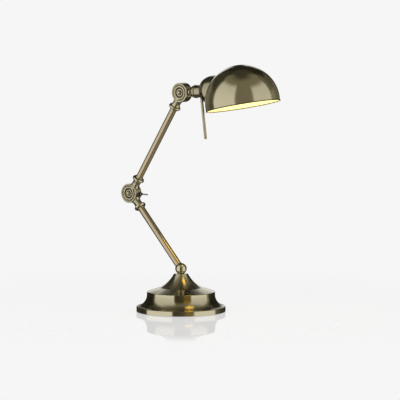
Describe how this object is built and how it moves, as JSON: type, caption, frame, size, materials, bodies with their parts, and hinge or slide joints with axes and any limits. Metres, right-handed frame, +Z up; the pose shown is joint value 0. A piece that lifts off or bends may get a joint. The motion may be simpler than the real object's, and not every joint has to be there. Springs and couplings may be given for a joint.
{
  "type": "adjustable desk lamp",
  "caption": "Antique brass desk lamp: round weighted base, jointed swing arm with ringed friction joints and a toggle switch, tilting dome shade on a bell cover, with a handle rod.",
  "frame": {"origin": "where the base's axis meets the surface that the lamp stands on", "axes": "+Z up along the base's axis; +X towards the shade, in the plane that the arms fold in; -Y towards the ringed faces of the friction joints"},
  "size_m": [0.3395, 0.16, 0.4475],
  "materials": {
    "brass": "aged antique brass, lacquered, satin",
    "cast_iron": "black painted casting",
    "steel": "zinc plated",
    "plate": "blackened sheet",
    "felt": "pressed felt",
    "rubber": "matt",
    "lining": "fibre friction disc",
    "flex": "flexible sheath",
    "toggle": "bright plated",
    "phenolic": "moulded phenolic",
    "bulb": "opal inside",
    "cap": "drawn"
  },
  "bodies": {
    "base": {"base_shell": "brass", "base_weight": "cast_iron", "base_studs": "steel", "stud_nuts": "steel", "bottom_plate": "plate", "plate_screws": "steel", "foot_pad": "felt", "cable_grommet": "rubber", "swivel_bush": "brass", "stop_pin": "steel"},
    "lower_arm": {"ball_elbow": "brass", "stop_washer": "steel", "swivel_spring_washer": "steel", "swivel_locknut": "steel", "swivel_nipple": "steel", "lower_tube": "brass", "lower_flex": "flex", "lower_collar": "brass", "elbow_rear_half": "brass", "elbow_pivot_screw": "brass", "elbow_spring_washer": "steel", "elbow_acorn_nut": "brass", "toggle_body": "phenolic", "toggle_bush": "toggle", "toggle_nut": "toggle"},
    "toggle": {"toggle_lever": "toggle"},
    "upper_arm": {"elbow_front_half": "brass", "elbow_friction_lining": "lining", "elbow_roundel": "brass", "elbow_collar": "brass", "upper_tube": "brass", "upper_flex": "flex", "head_collar": "brass", "head_front_half": "brass", "head_friction_lining": "lining", "head_roundel": "brass"},
    "head_knuckle": {"head_rear_half": "brass", "head_pivot_screw": "brass", "head_spring_washer": "steel", "head_acorn_nut": "brass", "neck_spring_washer": "steel", "neck_nut": "steel"},
    "head": {"holder_collar": "brass", "holder_nipple": "steel", "bell_nut": "steel", "bell_cover": "brass", "lampholder": "phenolic", "shade_saddle": "phenolic", "shade_ring": "phenolic", "shade": "brass", "bulb_glass": "bulb", "bulb_cap": "cap", "handle_rod": "brass"}
  },
  "joints": [
    {"name": "base_swivel", "type": "hinge", "parent": "base", "child": "lower_arm", "pos_m": [0, 0, 0.0775], "axis": [0, 0, 1], "range_deg": [-160, 160]},
    {"name": "elbow", "type": "hinge", "parent": "lower_arm", "child": "upper_arm", "pos_m": [-0.11589, 0, 0.20702], "axis": [0, 1, 0], "range_deg": [-70, 15]},
    {"name": "head_tilt", "type": "hinge", "parent": "upper_arm", "child": "head_knuckle", "pos_m": [0.00277, 0, 0.39371], "axis": [0, 1, 0], "range_deg": [-70, 50]},
    {"name": "head_swivel", "type": "hinge", "parent": "head_knuckle", "child": "head", "pos_m": [0.00277, 0, 0.39371], "axis": [0.9959, 0, 0.0906], "range_deg": [-90, 90]},
    {"name": "toggle_flip", "type": "hinge", "parent": "lower_arm", "child": "toggle", "pos_m": [-0.09631, 0.0029, 0.20613], "axis": [-0.0454, 0, -0.999], "range_deg": [0, 24]}
  ]
}
